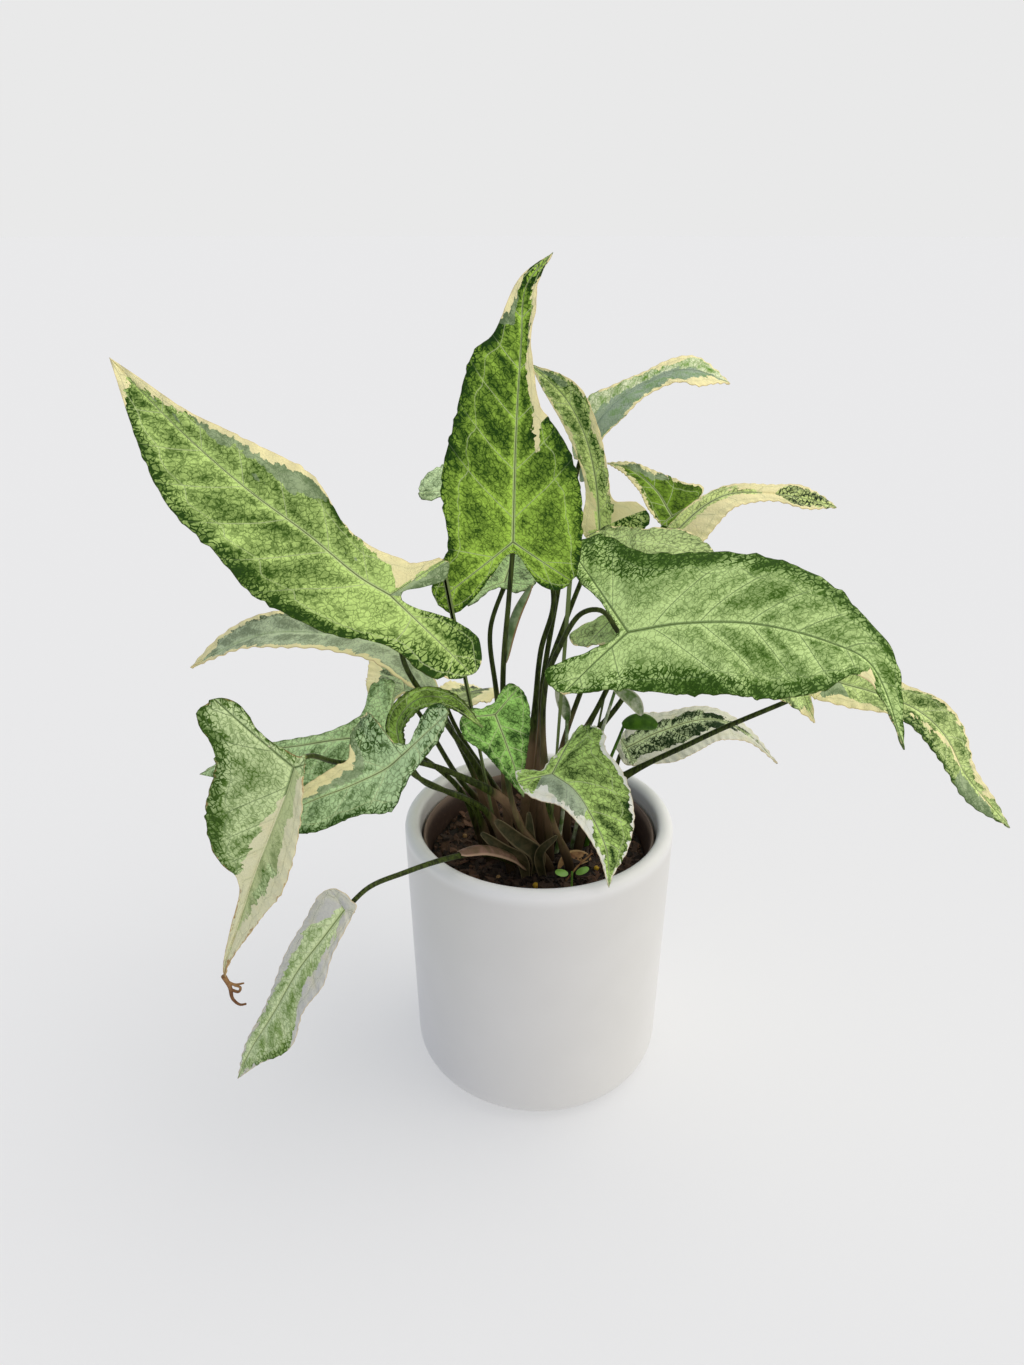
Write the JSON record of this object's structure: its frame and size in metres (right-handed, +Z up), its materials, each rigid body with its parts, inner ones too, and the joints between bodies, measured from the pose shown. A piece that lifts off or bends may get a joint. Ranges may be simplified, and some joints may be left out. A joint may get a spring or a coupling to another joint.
{
  "type": "potted arrowhead plant",
  "caption": "Arrowhead plant with mottled green and cream arrow-shaped leaves on long stalks, growing in a white ceramic cover pot.",
  "frame": {"origin": "middle of the cover pot's underside, where it rests", "axes": "+Z up, -Y towards the viewer of the picture, +X to the viewer's right"},
  "size_m": [0.4056, 0.2352, 0.4193],
  "materials": {
    "white_glaze": "satin white glaze",
    "brown_plastic": "thin brown moulded plastic",
    "dark_bark_soil": "moist bark and peat mix",
    "variegated_blade": "satin leaf, mottled green with cream patches",
    "olive_petiole": "smooth olive green leaf stalk",
    "seedling_green": "fresh green seed leaves"
  },
  "bodies": {
    "root": {"cover_pot": "white_glaze", "nursery_pot": "brown_plastic", "soil": "dark_bark_soil", "blade_tall": "variegated_blade", "petiole_tall": "olive_petiole", "blade_left_big": "variegated_blade", "petiole_left_big": "olive_petiole", "blade_right_big": "variegated_blade", "petiole_right_big": "olive_petiole", "blade_left_behind": "variegated_blade", "petiole_left_behind": "olive_petiole", "blade_left_hanging": "variegated_blade", "petiole_left_hanging": "olive_petiole", "blade_left_low": "variegated_blade", "petiole_left_low": "olive_petiole", "blade_left_low_behind": "variegated_blade", "petiole_left_low_behind": "olive_petiole", "blade_low_left_pale": "variegated_blade", "petiole_low_left_pale": "olive_petiole", "blade_young_arched": "variegated_blade", "petiole_young_arched": "olive_petiole", "blade_small_centre": "variegated_blade", "petiole_small_centre": "olive_petiole", "blade_small_front": "variegated_blade", "petiole_small_front": "olive_petiole", "blade_right_pale": "variegated_blade", "petiole_right_pale": "olive_petiole", "blade_far_right": "variegated_blade", "petiole_far_right": "olive_petiole", "blade_behind_tall": "variegated_blade", "petiole_behind_tall": "olive_petiole", "blade_upper_right": "variegated_blade", "petiole_upper_right": "olive_petiole", "blade_right_middle": "variegated_blade", "petiole_right_middle": "olive_petiole", "blade_right_cream": "variegated_blade", "petiole_right_cream": "olive_petiole", "blade_right_shaded": "variegated_blade", "petiole_right_shaded": "olive_petiole", "blade_centre_back": "variegated_blade", "petiole_centre_back": "olive_petiole", "blade_back_tall": "variegated_blade", "petiole_back_tall": "olive_petiole", "blade_back_left": "variegated_blade", "petiole_back_left": "olive_petiole", "blade_back_pale": "variegated_blade", "petiole_back_pale": "olive_petiole", "seedling": "seedling_green"}
  },
  "joints": []
}
